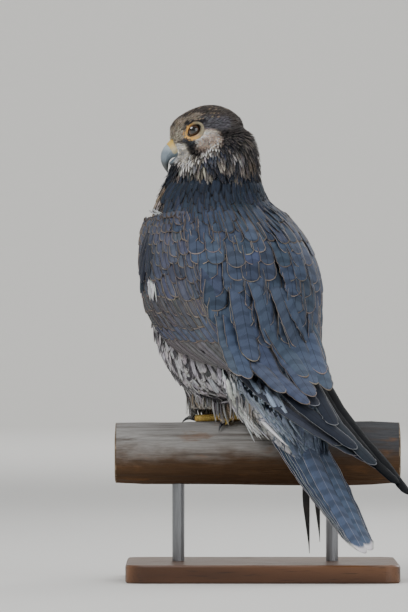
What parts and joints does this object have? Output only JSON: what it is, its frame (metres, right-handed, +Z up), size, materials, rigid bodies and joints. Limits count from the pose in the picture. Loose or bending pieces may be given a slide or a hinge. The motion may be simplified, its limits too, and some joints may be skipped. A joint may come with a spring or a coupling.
{
  "type": "peregrine falcon on a perch",
  "caption": "Life-size peregrine falcon with folded wings, head turned over its left side, gripping a short log held by two rods on a flat display base.",
  "frame": {"origin": "middle of the underside of the display base", "axes": "+Z up; +X along the log, to the right of a viewer who sees the back of the bird; +Y away from that viewer, to the side that the bird faces"},
  "size_m": [0.2572, 0.2212, 0.4209],
  "materials": {
    "plumage_head": "matt feathers, dark slate brown with buff streaks",
    "plumage_back": "matt feathers, slate",
    "plumage_breast": "soft feathers, buff white with dark bars",
    "plumage_tail": "smooth feathers, blue grey with darker bars and white tips",
    "plumage_wing": "smooth feathers, slate with pale buff fringes",
    "plumage_leg": "loose feathers, buff white with dark bars",
    "bill_horn": "polished horn, pale blue grey with a dark tip and a yellow cere",
    "eye": "wet gloss, near black brown",
    "foot_skin": "scaled skin, yellow",
    "claw_horn": "polished horn, black",
    "jess_leather": "greased leather, black",
    "weathered_wood": "bare weathered wood, grey brown",
    "base_wood": "satin varnish, dark brown",
    "rod_steel": "brushed"
  },
  "bodies": {
    "root": {"head": "plumage_head", "neck": "plumage_back", "torso": "plumage_breast", "tail": "plumage_tail", "wing_left": "plumage_wing", "wing_right": "plumage_wing", "leg_left": "plumage_leg", "leg_right": "plumage_leg", "bill_upper": "bill_horn", "bill_lower": "bill_horn", "eye_left": "eye", "eye_right": "eye", "foot_left": "foot_skin", "foot_right": "foot_skin", "jess_left": "jess_leather", "jess_right": "jess_leather", "perch_log": "weathered_wood", "stand_base": "base_wood", "stand_rod_left": "rod_steel", "stand_rod_right": "rod_steel", "claw_left_outer": "claw_horn", "claw_left_middle": "claw_horn", "claw_left_inner": "claw_horn", "claw_left_hind": "claw_horn", "claw_right_outer": "claw_horn", "claw_right_middle": "claw_horn", "claw_right_inner": "claw_horn", "claw_right_hind": "claw_horn"}
  },
  "joints": []
}
